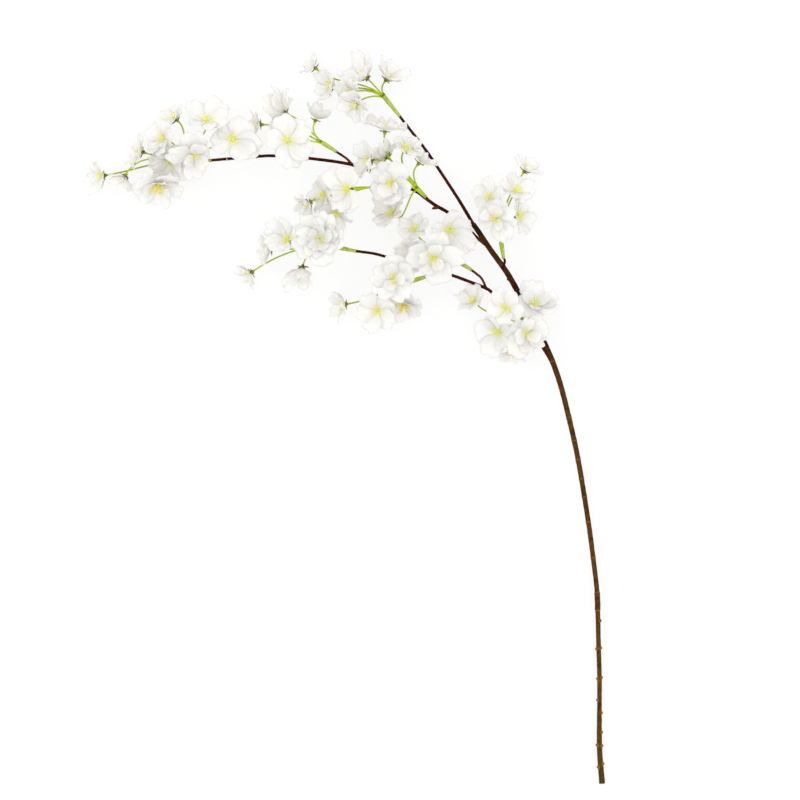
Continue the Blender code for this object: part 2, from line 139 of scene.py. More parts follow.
# Stems
STEM_RADII = (3.3, 2.6, 2.7, 2.8, 2.95, 3.1, 3.3, 2.9)
TOP_RADII = (2.1, 1.8, 1.7, 1.55)
ARCHING_RADII = (1.9, 1.95, 1.85, 1.75, 1.6)
LOWER_RADII = (1.8, 1.85, 1.75, 1.6)
TWIG_RADII = (1.35, 1.45)
BUD_RADIUS, BUD_POINT = 1.9, 0.35
STEM_SIDES, BRANCH_SIDES, SMALL_SIDES = 20, 16, 12
RING_SWELL, RING_WIDTH = 0.45, 1.3
JOINT_RINGS, JOINT_SWELL = (3, 4), 0.45  # the main stem is thicker between these two rings
CRACK_DEPTH, CRACK_WIDTH = 0.3, 0.45
STEM_VOXEL, BRANCH_VOXEL, STALK_VOXEL = 0.55, 0.42, 0.34
STEM_SOFTENING, STALK_SOFTENING = 4, 3
RIDGE_HEIGHT, RIDGE_GRAIN = 0.17, (0.9, 0.16, 0.9)
PIT_DEPTH, PIT_GRAIN, PIT_SHIFT = 0.07, (1.7, 0.9, 1.7), (40, 0, 0)
PORE_HALF, PORE_RADIUS, PORES_PER_SQUARE_METRE = 1.1, 0.32, 9000.0
PORE_SIZES, ACROSS_STEMS = (0.6, 1.15), (-0.1, 1.0, 0.0)


class Pick(NamedTuple):
    """One green moulding: where its sleeve starts, and the hub that its stalks leave."""

    start: tuple
    hub: tuple


PICKS = {
    "tip": Pick((-150.4, 283, 25), (-171, 284, 26)),
    "arch": Pick((-12.4, 293.4, 25), (-26, 302, 27)),
    "crown": Pick((57.6, 332.6, 26), (42, 352, 28)),
    "middle": Pick((86.2, 243.3, 33.2), (79, 250.5, 34)),
    "inner": Pick((49.6, 253, 27.5), (30, 254, 28)),
    "outer": Pick((8.6, 183.6, 24), (-8, 187, 25)),
    "fork": Pick((136.1, 163.3, 26), (125, 170.5, 27)),
    "lower": Pick((91.6, 156.4, 25.5), (74, 151, 26)),
    "base": Pick((213, 88.7, 29.8), (190, 104, 31)),
    "side": Pick((172.4, 176.6, 28.6), (170, 192, 30)),
}


class Filler(NamedTuple):
    """A flower that peeps out from behind the others: its middle from the hub, lean, width and turn."""

    right: float
    up: float
    rise: float
    heading: float
    lean: float
    width: float
    turn: float


FILLERS = {
    "tip": (
        Filler(-76, -22, -8, 235, 105, 29, 0),
        Filler(-24, -3, 3, 245, 32, 48, 10),
        Filler(-20, 48, -2, 135, 60, 30, 20),
    ),
    "crown": (Filler(-38, 4, 6, 200, 50, 36, 10),),
    "middle": (Filler(-37, 39, -3, 135, 110, 35, 0), Filler(5, 34, 2, 50, 85, 33, 30)),
    "inner": (Filler(-75, -20, -8, 215, 65, 29, 0), Filler(-42, -30, -6, 250, 60, 38, 20)),
    "outer": (Filler(-81, -2, -8, 180, 85, 33, 15),),
}

# Routes, foot to end: each point is right, up and height of the centreline
STEM_ROUTE = (
    (282, -404, 3.2), (279, -362, 4), (279, -292, 5), (278, -255, 6), (277, -214, 7),
    (276, -190, 7.5), (272, -156, 9), (266, -112, 11), (255, -46, 14), (245, -1, 17),
    (234, 41, 20), (221, 75, 22), (204, 109, 24), (188, 139, 26), (176, 160, 27),
    (158, 185, 28), (146, 203, 29), (139, 213, 29.5),
)
TOP_ROUTE = (
    (144, 205.5, 29.1), (138.6, 213.8, 29.4), (123, 240, 28), (99, 277, 24), (86, 296, 23),
    (65, 323, 25), (58, 332, 26),
)
ARCHING_ROUTE = (
    (153, 190, 28.5), (147.5, 194.5, 28.3), (140.5, 200.5, 28), (135, 207, 28),
    (126, 216.5, 28), (118.5, 221, 28),
    (108.5, 227.5, 27.5), (97, 234, 27), (86, 242, 27), (75.5, 249.5, 26), (45, 264, 25),
    (7, 278, 24), (-38.5, 285, 24), (-78, 288, 24), (-97, 287.5, 24), (-139, 284, 25),
    (-150, 283, 25),
)
LOWER_ROUTE = (
    (226, 60, 21), (220.5, 70, 21.9), (213, 81.5, 22.6), (204.5, 93, 23), (190, 112, 24), (175, 125, 25),
    (162.5, 135, 25), (154, 142, 25), (130.5, 151.5, 25), (113, 157.5, 25), (88, 164, 24),
    (73.5, 167, 24), (59.5, 173, 24), (47, 176, 24), (30.5, 180.5, 24), (9, 183.5, 24),
)
STEM_TWIGS = (
    ((172, 165, 27.5), (174, 172, 28), (172.5, 176, 28.5)),
    ((220, 80, 22.5), (218, 84.5, 27), (214.5, 87.7, 29.2)),
)
ARCHING_TWIGS = (
    ((7, 278, 24), (0, 285, 24.5), (-12, 293, 25)),
    ((74, 250.5, 26), (62, 252.5, 27), (50, 253, 27.5)),
    ((89, 240, 27), (88.5, 241, 31), (86.5, 243, 33)),
)
LOWER_TWIGS = (
    ((154, 142, 25), (148.5, 153, 26), (142.5, 158.5, 26), (136.5, 163, 26)),
    ((96, 162, 24.5), (94.5, 159, 25), (92, 156.5, 25.5)),
)
ARCHING_BUDS = (
    ((119.5, 220.5, 28), (114, 219, 29.5)),
    ((101, 232, 27.2), (93.5, 229.5, 28)),
    ((-97, 287.5, 24), (-99.5, 291.5, 24.5)),
)
# Where a stem swells into a ring
STEM_RINGS = (
    (279, -362, 4), (279, -291, 5), (278, -254, 6), (277, -213, 7), (276, -192, 7.5),
    (272, -154, 9), (266, -114, 11), (262, -87, 12), (259, -67, 13), (255, -46, 14),
    (250, -25, 15.5), (245, 1, 17), (227, 62, 21),
)
TOP_RINGS = ((79, 305.5, 23), (65, 323, 25))
ARCHING_RINGS = ((-132, 284.5, 25),)
LOWER_RINGS = ((96, 162, 24.4),)
# Blunt knobs on the stem: how far up, and which side (1 is right)
STEM_KNOBS = (
    (-224, 1), (-254, 1), (-255, -1), (-286, 1), (-288, -1), (-311, -1), (-326, 1), (-347, 1),
    (-362, 1), (-361, -1), (-382, 1), (-386, -1), (152, -1),
)
PALE_KNOBS_BELOW = 0  # higher ones are as dark as the stem
KNOB_RISE = 0.25  # upwards, for one that a knob points sideways
KNOB_PROFILE = ((0.3, 1.6), (1.0, 1.55), (1.35, 1.35), (1.48, 0.8))  # of the stem's radius, radius


# ---------------------------------------------------------------- node trees


class Flow:
    """A socket of a node tree that sums can be written with."""

    def __init__(self, recipe, socket):
        self.recipe, self.socket = recipe, socket

    def sum(self, operation, other=0.0, swap=False):
        pair = (other, self) if swap else (self, other)
        return self.recipe.node("ShaderNodeMath", {"operation": operation}, dict(enumerate(pair)))

    def __add__(self, other):
        return self.sum("ADD", other)

    def __sub__(self, other):
        return self.sum("SUBTRACT", other)

    def __rsub__(self, other):
        return self.sum("SUBTRACT", other, swap=True)

    def __mul__(self, other):
        return self.sum("MULTIPLY", other)

    def __truediv__(self, other):
        return self.sum("DIVIDE", other)

    def __pow__(self, other):
        return self.sum("POWER", other)

    __radd__, __rmul__ = __add__, __mul__


class Recipe:
    """Adds nodes to one tree."""

    def __init__(self, tree):
        self.tree = tree

    @staticmethod
    def find(sockets, key):
        if isinstance(key, int):
            return sockets[key]
        for socket in sockets:
            if socket.identifier == key:
                return socket
        return sockets[key]

    def node(self, kind, settings=None, sockets=None, out=0):
        """A new node with its settings, then its sockets' values or links; returns one output."""
        made = self.tree.nodes.new(kind)
        for name, value in (settings or {}).items():
            if name == "stops":
                self.fill_ramp(made.color_ramp, value)
            else:
                setattr(made, name, value)
        for key, value in (sockets or {}).items():
            socket = self.find(made.inputs, key)
            if isinstance(value, Flow):
                self.tree.links.new(value.socket, socket)
            else:
                socket.default_value = value
        return Flow(self, self.find(made.outputs, out)) if len(made.outputs) else made

    def another(self, flow, out):
        """Another output of the node that a flow comes from."""
        return Flow(self, self.find(flow.socket.node.outputs, out))

    @staticmethod
    def fill_ramp(ramp, stops):
        while len(ramp.elements) < len(stops):
            ramp.elements.new(0.5)
        for element, (place, shade) in zip(ramp.elements, stops):
            element.position, element.color = place, shade

    def mix(self, factor, first, second):
        settings = {"data_type": "RGBA"}
        sockets = {"Factor_Float": factor, "A_Color": first, "B_Color": second}
        return self.node("ShaderNodeMix", settings, sockets, "Result_Color")

    def ramp(self, factor, *stops):
        return self.node("ShaderNodeValToRGB", {"stops": stops}, {"Fac": factor}, "Color")

    def between(self, value, low, high):
        """0 below low, 1 above high, and smooth between."""
        settings = {"interpolation_type": "SMOOTHSTEP"}
        return self.node(
            "ShaderNodeMapRange", settings, {"Value": value, "From Min": low, "From Max": high}, "Result"
        )

    def kept(self, name):
        """The three numbers kept at each corner of a piece under a name."""
        vector = self.node("ShaderNodeAttribute", {"attribute_name": name}, out="Vector")
        split = self.node("ShaderNodeSeparateXYZ", None, {0: vector}, "X")
        return vector, split, self.another(split, "Y"), self.another(split, "Z")

    def scaled(self, vector, by):
        return self.node("ShaderNodeVectorMath", {"operation": "MULTIPLY"}, {0: vector, 1: by}, "Vector")

    def speckle(self, vector, scale, detail=3.0, roughness=0.6, distortion=0.0):
        return self.node("ShaderNodeTexNoise", None, {
            "Vector": vector, "Scale": scale, "Detail": detail, "Roughness": roughness,
            "Distortion": distortion,
        }, "Fac")

    def object_place(self):
        return self.node("ShaderNodeTexCoord", out="Object")

    def raised(self, height, depth, strength):
        sockets = {"Height": height, "Distance": depth, "Strength": strength}
        return self.node("ShaderNodeBump", None, sockets, "Normal")


def colour(red, green, blue):
    """A colour from the numbers on a paint chart, 0 to 255."""
    def linear(part):
        part /= 255
        return part / 12.92 if part <= 0.04045 else ((part + 0.055) / 1.055) ** 2.4
    return (linear(red), linear(green), linear(blue), 1.0)


def new_material(name):
    material = bpy.data.materials.new(name)
    material.use_nodes = True
    material.node_tree.nodes.clear()
    return material, Recipe(material.node_tree)


def output(recipe, shader):
    recipe.node("ShaderNodeOutputMaterial", None, {"Surface": shader})


def principled(recipe, shade, roughness, normal, **others):
    sockets = {"Base Color": shade, "Roughness": roughness, "Normal": normal}
    sockets.update({label.replace("_", " "): value for label, value in others.items()})
    return recipe.node("ShaderNodeBsdfPrincipled", None, sockets, "BSDF")


PETAL_WHITE = colour(251, 250, 250)
# the grey of the painted shade along veins and folded rims, and of a random mottle
PETAL_MOTTLE_AND_PAINTED_SHADE = colour(222, 219, 218)
PETAL_CREAM = colour(241, 242, 216)
PETAL_UNDER = colour(247, 245, 238)
PETAL_GLOW = (0.99, 0.988, 0.98, 1.0)
GLOW_SHARE = 0.46  # of light that passes through the cloth
VEINS, VEIN_WANDER, VEIN_THINNESS = 13.0, 1.6, 6.0
WARPS, WEFTS = 52.0, 60.0  # threads across a petal, and up it


def petal_fabric():
    """Pressed white cloth: pleats fan out from the claw, cream at the middle, fine weave, with painted
    shade along the veins and round each petal's rim over a grey mottle.
    """
    material, r = new_material("petal_fabric")
    vector, across, along, side = r.kept("petal")
    wander = r.speckle(r.scaled(vector, (3.0, 5.0, 1.0)), 1.0, 2.0)
    fan = (across * VEINS + wander * VEIN_WANDER) * math.pi
    vein = (1.0 - fan.sum("SINE").sum("ABSOLUTE")) ** VEIN_THINNESS
    vein = vein * r.between(along, 0.05, 0.3) * (1.0 - r.between(along, 0.72, 0.98))
    cloud = r.speckle(r.object_place(), 90.0, 2.0)
    aside = (across - 0.5) * 2.0
    # painted shade round each petal's folded rim
    rim = (aside * aside) ** 7.0 + along ** 16.0
    # painted shade along the vein grooves and round the rim, over a random grey mottle from the cloud
    painted_crease_shade_and_mottle = vein * 0.5 + r.between(cloud, 0.5, 0.85) * 0.25 + rim * 0.6
    pale = r.mix(painted_crease_shade_and_mottle, PETAL_WHITE, PETAL_MOTTLE_AND_PAINTED_SHADE)
    lower = r.mix(side, pale, PETAL_UNDER)
    middle = (1.0 - r.between(along, 0.02, 0.36)) * 0.7
    shade = r.mix(middle, lower, PETAL_CREAM)
    warp = (across * (WARPS * math.pi)).sum("SINE")
    weft = (along * (WEFTS * math.pi)).sum("SINE")
    height = vein * 0.8 + warp * weft * 0.12 + cloud * 0.3
    normal = r.raised(height, 0.0004, 0.6)
    cloth = principled(
        r, shade, 0.72, normal, Sheen_Weight=0.15, Sheen_Roughness=0.5, Specular_IOR_Level=0.25
    )
    glow = r.node("ShaderNodeBsdfTranslucent", None, {"Color": PETAL_GLOW, "Normal": normal}, "BSDF")
    output(r, r.node("ShaderNodeMixShader", None, {0: GLOW_SHARE, 1: cloth, 2: glow}, 0))
    return material


def stamen_yellow():
    """Coated thread, lemon towards the head and greenish at the foot."""
    material, r = new_material("stamen_yellow")
    _, gold, height, head = r.kept("stamen")
    lemon = r.mix(r.between(height, 0.0, 0.3), colour(232, 236, 110), colour(252, 250, 8))
    heads = r.mix(head, lemon, colour(255, 242, 0))
    shade = r.mix(gold, heads, colour(255, 234, 36))
    grain = r.speckle(r.object_place(), 2500.0, 2.0)
    output(r, principled(r, shade, grain * 0.2 + 0.45, r.raised(grain, 0.0001, 0.4)))
    return material


def stalk_green():
    """Moulded plastic: pale sleeve, bright stalks, olive calyx."""
    material, r = new_material("stalk_green")
    _, sleeve, calyx, bright = r.kept("stalk")
    place = r.object_place()
    mottle = r.speckle(place, 260.0, 4.0, 0.65)
    fine = r.speckle(place, 1400.0, 3.0)
    stalk = r.mix(bright, colour(150, 168, 22), colour(188, 210, 8))
    stalk = r.mix(r.between(mottle, 0.45, 0.75) * 0.5, stalk, colour(116, 130, 20))
    dusty = r.mix(r.between(mottle, 0.4, 0.7), colour(176, 190, 88), colour(130, 152, 36))
    shade = r.mix(sleeve, stalk, dusty)
    cup = r.mix(r.between(mottle, 0.42, 0.66), colour(150, 156, 44), colour(100, 88, 28))
    shade = r.mix(calyx, shade, cup)
    normal = r.raised(mottle * 0.6 + fine * 0.4, 0.0004, 0.6)
    output(r, principled(r, shade, fine * 0.25 + 0.45, normal, Specular_IOR_Level=0.25))
    return material


def calyx_olive():
    material, r = new_material("calyx_olive")
    _, kind, height, _ = r.kept("sepal")
    place = r.object_place()
    mottle = r.speckle(place, 500.0, 3.0)
    green = r.mix(r.between(mottle, 0.4, 0.65), colour(142, 146, 44), colour(104, 98, 30))
    brown = r.mix(r.between(mottle, 0.4, 0.7), colour(120, 100, 40), colour(66, 44, 22))
    shade = r.mix(kind, green, brown)
    shade = r.mix(r.between(height, 0.6, 1.0) * 0.7, shade, colour(98, 56, 34))
    normal = r.raised(mottle, 0.0003, 0.6)
    output(r, principled(r, shade, mottle * 0.2 + 0.5, normal, Specular_IOR_Level=0.2))
    return material


def bark(name, stops, light, dark, pale, paleness):
    """Moulded bark over wire: shade changes from foot to end, with streaks, pale cracks and knobs."""
    material, r = new_material(name)
    _, along, ring, scar = r.kept("bark")
    place = r.object_place()
    streak = r.speckle(r.scaled(place, (1.0, 0.22, 1.0)), 900.0, 4.0, 0.7, 0.4)
    patch = r.speckle(place, 170.0, 4.0, 0.6)
    grit = r.speckle(place, 2600.0, 2.0)
    shade = r.ramp(along, *stops)
    shade = r.mix(r.between(streak, 0.5, 0.78) * (0.66 - along * 0.2), shade, light)
    shade = r.mix(r.between(patch, 0.46, 0.68) * 0.6, shade, dark)
    shade = r.mix(ring * paleness, shade, pale)
    shade = r.mix(scar * r.between(patch, 0.2, 0.6), shade, colour(134, 94, 36))
    normal = r.raised(streak * 0.6 + patch * 0.25 + grit * 0.15, 0.0007, 0.8)
    output(r, principled(r, shade, streak * 0.3 + 0.48, normal, Specular_IOR_Level=0.03))
    return material


def graded(*rows):
    """Each place along a ramp with its colour."""
    return tuple((place, colour(*shade)) for place, *shade in rows)


OLIVE_STOPS = graded(
    (0.0, 60, 54, 20), (0.06, 84, 60, 22), (0.35, 84, 54, 20), (0.68, 80, 52, 19), (0.78, 56, 20, 8),
    (0.87, 50, 10, 4), (0.91, 66, 36, 15), (0.97, 62, 34, 14), (1.0, 50, 10, 4),
)
RED_STOPS = graded(
    (0.0, 82, 54, 22), (0.09, 54, 14, 6), (0.45, 68, 17, 6), (0.7, 60, 22, 10), (0.96, 54, 22, 11),
    (1.0, 94, 30, 12),
)
FINISHES = {
    "petal_fabric": petal_fabric(),
    "stamen_yellow": stamen_yellow(),
    "stalk_green": stalk_green(),
    "calyx_olive": calyx_olive(),
    "olive_bark": bark(
        "olive_bark", OLIVE_STOPS, colour(140, 88, 34), colour(34, 20, 6), colour(150, 112, 66), 0.42
    ),
    "red_bark": bark(
        "red_bark", RED_STOPS, colour(118, 44, 18), colour(26, 6, 3), colour(212, 188, 158), 0.8
    ),
}


# ---------------------------------------------------------------- meshes


def linked(name, data):
    """A new object on a mesh, lamp or lens, in the scene."""
    made = bpy.data.objects.new(name, data)
    SCENE.collection.objects.link(made)
    return made


class Build:
    """A piece as it is put together: corners and faces, with three numbers kept at each corner."""

    def __init__(self):
        self.corners, self.faces, self.kept = [], [], []
        self.count = 0

    def add(self, corners, faces, kept):
        self.corners.append(np.asarray(corners, float))
        self.faces += [tuple(int(k) + self.count for k in face) for face in faces]
        self.kept.append(np.broadcast_to(np.asarray(kept, float), (len(corners), 3)))
        self.count += len(corners)

    def add_tube(self, route, radii, sides, kept=(0.0, 0.0, 0.0)):
        self.add(*tube(route, radii, sides), kept)

    def piece(self, name, label, finish):
        """The mesh object, in metres, in the model's frame."""
        mesh = bpy.data.meshes.new(name)
        mesh.from_pydata((np.concatenate(self.corners) * MM).tolist(), [], self.faces)
        keep(mesh, label, np.concatenate(self.kept))
        mesh.shade_smooth()
        mesh.materials.append(FINISHES[finish])
        return linked(name, mesh)


def keep(mesh, label, values):
    """Keeps three numbers at each corner of a mesh, in place of what was there."""
    if label in mesh.attributes:
        mesh.attributes.remove(mesh.attributes[label])
    field = mesh.attributes.new(label, "FLOAT_VECTOR", "POINT")
    field.data.foreach_set("vector", np.ascontiguousarray(values, np.float32).ravel())


def hand_over(piece, slot, *nodes):
    """Hides the nodes that a finished piece stands for, and lets it ride on the spray; the slot is not
    used.
    """
    if nodes:
        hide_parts(*nodes)
    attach(piece, "root")


def profile_at(profile, share):
    places, values = zip(*profile)
    return float(np.interp(share, places, values))


def spread(values, share):
    return float(np.interp(share * (len(values) - 1), range(len(values)), values))


def smooth_route(points, step):
    """Points about a step apart on a Catmull-Rom curve through the given ones, in the model's frame."""
    ends = [np.array(p, float) + SHIFT for p in points]
    ends = [2 * ends[0] - ends[1], *ends, 2 * ends[-1] - ends[-2]]
    route = []
    for a, b, c, d in zip(ends, ends[1:], ends[2:], ends[3:]):
        pieces = max(1, round(np.linalg.norm(c - b) / step))
        for t in np.arange(pieces) / pieces:
            route.append(0.5 * (
                2 * b + (c - a) * t + (2 * a - 5 * b + 4 * c - d) * t ** 2
                + (3 * b - a - 3 * c + d) * t ** 3
            ))
    return np.array(route + [ends[-2]])


def tube(route, radii, sides):
    """Corners and faces of a closed tube along a route, its ends rounded over by a middle corner."""
    headings = np.gradient(route, axis=0)
    headings /= np.linalg.norm(headings, axis=1, keepdims=True)
    across = np.cross(headings[0], (0.0, 0.0, 1.0))
    if np.linalg.norm(across) < 0.1:
        across = np.cross(headings[0], (1.0, 0.0, 0.0))
    angles = 2 * np.pi * np.arange(sides) / sides
    right, up = np.cos(angles), np.sin(angles)
    corners = []
    for point, heading, radius in zip(route, headings, radii):
        across = across - heading * (across @ heading)
        across /= np.linalg.norm(across)
        rise = np.cross(heading, across)
        corners.append(point + radius * (np.outer(right, across) + np.outer(up, rise)))
    faces = []
    last = len(route) - 1
    for ring in range(last):
        for k in range(sides):
            low, high = ring * sides, (ring + 1) * sides
            after = (k + 1) % sides
            faces.append((low + k, low + after, high + after, high + k))
    corners = np.concatenate(corners + [route[:1], route[-1:]])
    foot, head = len(corners) - 2, len(corners) - 1
    for k in range(sides):
        after = (k + 1) % sides
        faces.append((foot, after, k))
        faces.append((head, last * sides + k, last * sides + after))
    return corners, faces


class Line:
    """Centrelines sampled finely, so that a corner of a merged mesh can ask what it lies beside."""

    def __init__(self):
        self.points, self.kept = [], []

    def add(self, points, kept):
        self.points += list(points)
        self.kept += [tuple(k) for k in kept]

    def nearest(self, corners):
        tree = kdtree.KDTree(len(self.points))
        for k, point in enumerate(self.points):
            tree.insert(point, k)
        tree.balance()
        found = [tree.find(corner)[1] for corner in corners]
        return np.array(self.kept)[found]


def vectors_of(collection, label):
    vectors = np.empty(len(collection) * 3, np.float32)
    collection.foreach_get(label, vectors)
    return vectors.reshape(-1, 3).astype(float)


def corners_of(mesh):
    return vectors_of(mesh.vertices, "co")


def settled_mesh(piece):
    """Turns a piece's modifiers into plain mesh."""
    graph = bpy.context.evaluated_depsgraph_get()
    mesh = bpy.data.meshes.new_from_object(piece.evaluated_get(graph))
    piece.modifiers.clear()
    old = piece.data
    piece.data = mesh
    bpy.data.meshes.remove(old)
    mesh.name = piece.name
    mesh.shade_smooth()


def merged(piece, voxel, rounds):
    """Makes one skin of a piece's overlapping parts, and softens it."""
    remesh = piece.modifiers.new("one_skin", "REMESH")
    remesh.mode = "VOXEL"
    remesh.voxel_size = voxel * MM
    remesh.use_smooth_shade = True
    soften = piece.modifiers.new("soften", "SMOOTH")
    soften.factor, soften.iterations = 0.5, rounds
    settled_mesh(piece)


# ---------------------------------------------------------------- flowers


class Flower(NamedTuple):
    """One flower in the model's frame: base and lengths in mm, and the turn from its own axes."""

    name: str
    pick: str
    base: np.ndarray
    turn: np.ndarray
    radius: float
    cup: float


def cup_of(width):
    if width < SMALL_WIDTH:
        return SMALL_CUP
    return MEDIUM_CUP if width < LARGE_WIDTH else LARGE_CUP


def flower_on(name, node):
    """Reads a flower's base, opening, turn and width off its solid, which is the same all round."""
    corners = np.unique(np.round(corners_of(node.data) / MM, 3), axis=0)
    middle = corners.mean(axis=0)
    opening = np.linalg.eigh(np.cov((corners - middle).T))[1][:, 0]
    away = np.linalg.norm(np.cross(corners - middle, opening), axis=1)
    core = corners[away < 0.1 * away.max()]
    if (corners[away > 0.9 * away.max()].mean(axis=0) - core.mean(axis=0)) @ opening < 0:
        opening = -opening
    base = core[np.argmin(core @ opening)]
    tips = corners[away > 0.998 * away.max()]
    tip = tips[np.argmin(tips @ opening)] - base
    cup = (tip @ opening) / away.max()
    out = tip - opening * (tip @ opening)
    out /= np.linalg.norm(out)
    turn = np.column_stack((out, np.cross(opening, out), opening))
    return Flower(name, name.split("_")[0], base, turn, away.max(), cup)


def filler_on(pick, number, filler):
    turn = (
        Matrix.Rotation(math.radians(filler.heading), 3, "Z")
        @ Matrix.Rotation(math.radians(filler.lean), 3, "Y")
        @ Matrix.Rotation(math.radians(filler.turn), 3, "Z")
    )
    turn = np.array(turn)
    cup = cup_of(filler.width)
    middle = np.array(PICKS[pick].hub) + SHIFT + (filler.right, filler.up, filler.rise)
    base = middle - turn[:, 2] * cup * filler.width / 4
    return Flower(f"{pick}_filler_{number}", pick, base, turn, filler.width / 2, cup)


def grid(low, high, columns, rows):
    """How far across, from low to high, and along, from 0 to 1, each corner of a sheet is."""
    return np.meshgrid(np.linspace(low, high, columns), np.linspace(0, 1, rows), indexing="ij")


def petal_sheet(radius, size, cup, draw, twist):
    """Corners over one petal as a grid, first over it and then up it, lying along +X."""
    across, along = grid(-1, 1, COLUMNS, ROWS)
    phases = draw.uniform(0, 2 * np.pi, 8)
    lean = draw.uniform(*LEANS)
    length = draw.uniform(*LENGTHS)
    half = PETAL_HALF * draw.uniform(*WIDTHS)
    notch = draw.uniform(*NOTCHES) * np.exp(-((across - lean) / NOTCH_WIDTH) ** 2)
    reach = 1 - RIM_DROP * np.abs(across) ** RIM_POWER - notch
    reach = reach + RIM_WOBBLE * np.sin(across * draw.uniform(*RIM_WAVES) + phases[0]) * along
    out = CLAW_START + (length * reach - CLAW_START) * along
    beyond = np.clip(out, 0, None)
    widening = np.sin(np.pi / 2 * np.clip(along / 0.8, 0, 1)) ** 1.15
    aside = across * (CLAW_HALF + (half - CLAW_HALF) * widening) + lean * along ** 2
    pleat = PLEAT_DEPTH * np.cos(across * PLEATS + phases[1] + 0.8 * along) * out * (1 - 0.4 * along)
    ruffle = RUFFLE_DEPTH * along ** 5 * np.sin(across * draw.uniform(*RIM_WAVES) + phases[2])
    wave = WAVE_DEPTH * out ** 2 * np.sin(across * 2.4 + along * 2.0 + phases[3])
    crumple = CRUMPLE_DEPTH * out * (
        np.sin(across * 5 + along * 7 + phases[4]) + np.sin(across * -7 + along * 5 + phases[5])
    )
    spoon = draw.uniform(*SPOONS) * across ** 2 * out * (1.15 - 0.6 * out)
    fold = draw.uniform(*FOLDS) * np.clip(across * np.sign(twist), 0, 1) ** 2 * out
    curl = draw.uniform(*CURLS) * beyond ** 5
    height = (
        cup * beyond ** CUP_POWER + draw.uniform(*CLIMBS) * out
        + twist * across * out + pleat + ruffle + wave + crumple + spoon + fold + curl
    )
    return np.stack((out * size, aside * min(size, WIDEST_PETAL), height * size), axis=2) * radius


def shell(sheet):
    """Closes a grid of corners into cloth of its real thickness: upper side, lower side and edge."""
    up = np.cross(np.gradient(sheet, axis=1), np.gradient(sheet, axis=0))
    up /= np.linalg.norm(up, axis=2, keepdims=True)
    columns, rows = sheet.shape[:2]
    corners = np.concatenate([
        (sheet + up * CLOTH / 2).reshape(-1, 3), (sheet - up * CLOTH / 2).reshape(-1, 3)
    ])
    total = columns * rows
    number = np.arange(total).reshape(columns, rows)
    a, b = number[:-1, :-1].ravel(), number[:-1, 1:].ravel()
    c, d = number[1:, 1:].ravel(), number[1:, :-1].ravel()
    faces = list(zip(a, b, c, d)) + list(zip(d + total, c + total, b + total, a + total))
    border = [*number[0, :-1], *number[:-1, -1], *number[-1, :0:-1], *number[:0:-1, 0]]
    for first, second in zip(border, border[1:] + border[:1]):
        faces.append((first + total, second + total, second, first))
    across, along = grid(0, 1, columns, rows)
    kept = np.stack((across.ravel(), along.ravel(), np.zeros(total)), axis=1)
    kept = np.concatenate((kept, kept + (0.0, 0.0, 1.0)))
    return corners, faces, kept


def above_ground(sheet):
    """Bends cloth that would pass through the ground, so that it lies on it instead."""
    over = sheet[..., 2] - GROUND_GAP
    lifted = GROUND_GAP + (over + np.sqrt(over ** 2 + 4 * GROUND_BEND ** 2)) / 2
    return np.concatenate((sheet[..., :2], lifted[..., None]), axis=2)


def lobe_on(flower, heading, reach):
    """A petal's length over the flower's radius and its place round it, from how it looks from above."""
    out = np.array((math.cos(math.radians(heading)), math.sin(math.radians(heading)), 0.0))
    opening = flower.turn[:, 2]
    out[2] = -(out @ opening) / opening[2]
    along, aside, _ = flower.turn.T @ out
    place = math.atan2(aside, along) * PETALS / (2 * math.pi)
    return min(reach * np.linalg.norm(out) / flower.radius, LONGEST_LOBE), place


def petals_of(flower, draw):
    """A whorl of separate petals, each with one side over its neighbour, and smaller ones inside it."""
    build = Build()
    side = draw.choice((-1.0, 1.0))
    lobes = LOBES.get(flower.name, ())
    sheets = [(*lobe_on(flower, *lobe), 0.0, 0.0) for lobe in lobes]
    if flower.name in BELLS:
        sheets = [(BELL_SIZE, petal, BELLS[flower.name], 0.0) for petal in range(PETALS)]
    sheets = sheets or [(1.0, petal, 0.0, 0.0) for petal in range(PETALS)]
    if flower.name == DOUBLE_FLOWER:
        for size, turn, climb, lift in DOUBLE_RINGS:
            sheets += [(size, petal + turn, climb, lift) for petal in range(PETALS)]
    elif flower.name in FULL_FLOWERS:
        first = draw.uniform(0, PETALS)
        for number in range(INNER_PETALS):
            place = first + number * (1.3 + 0.6 * draw.random())
            size, climb = draw.uniform(*INNER_SIZES), draw.uniform(*INNER_CLIMBS)
            sheets.append((size, place, climb, 0.9 + 0.4 * number))
    for size, place, climb, lift in sheets:
        angle = 2 * np.pi * (place + draw.uniform(*PETAL_TURNS)) / PETALS
        twist = side * draw.uniform(*TWISTS)
        sheet = petal_sheet(flower.radius, size, flower.cup + climb, draw, twist)
        spin = np.array(Matrix.Rotation(angle, 3, "Z"))
        sheet = sheet @ spin.T + (0, 0, SHEET_LIFT + lift)
        build.add(*shell(above_ground(sheet @ flower.turn.T + flower.base)))
    return build.piece(f"{flower.name}_petals", "petal", "petal_fabric")


# ---------------------------------------------------------------- what repeats on each flower


def new_tree(name, feed, inputs):
    """A Geometry Nodes tree: the tree, its recipe, and each of its inputs by name."""
    tree = bpy.data.node_groups.new(name, "GeometryNodeTree")
    for label, kind in ((feed, "Geometry"), *inputs):
        tree.interface.new_socket(label, in_out="INPUT", socket_type=f"NodeSocket{kind}")
    tree.interface.new_socket("Copies", in_out="OUTPUT", socket_type="NodeSocketGeometry")
    r = Recipe(tree)
    first = r.node("NodeGroupInput", out=feed)
    return tree, r, {label: r.another(first, label) for label in (feed, *dict(inputs))}


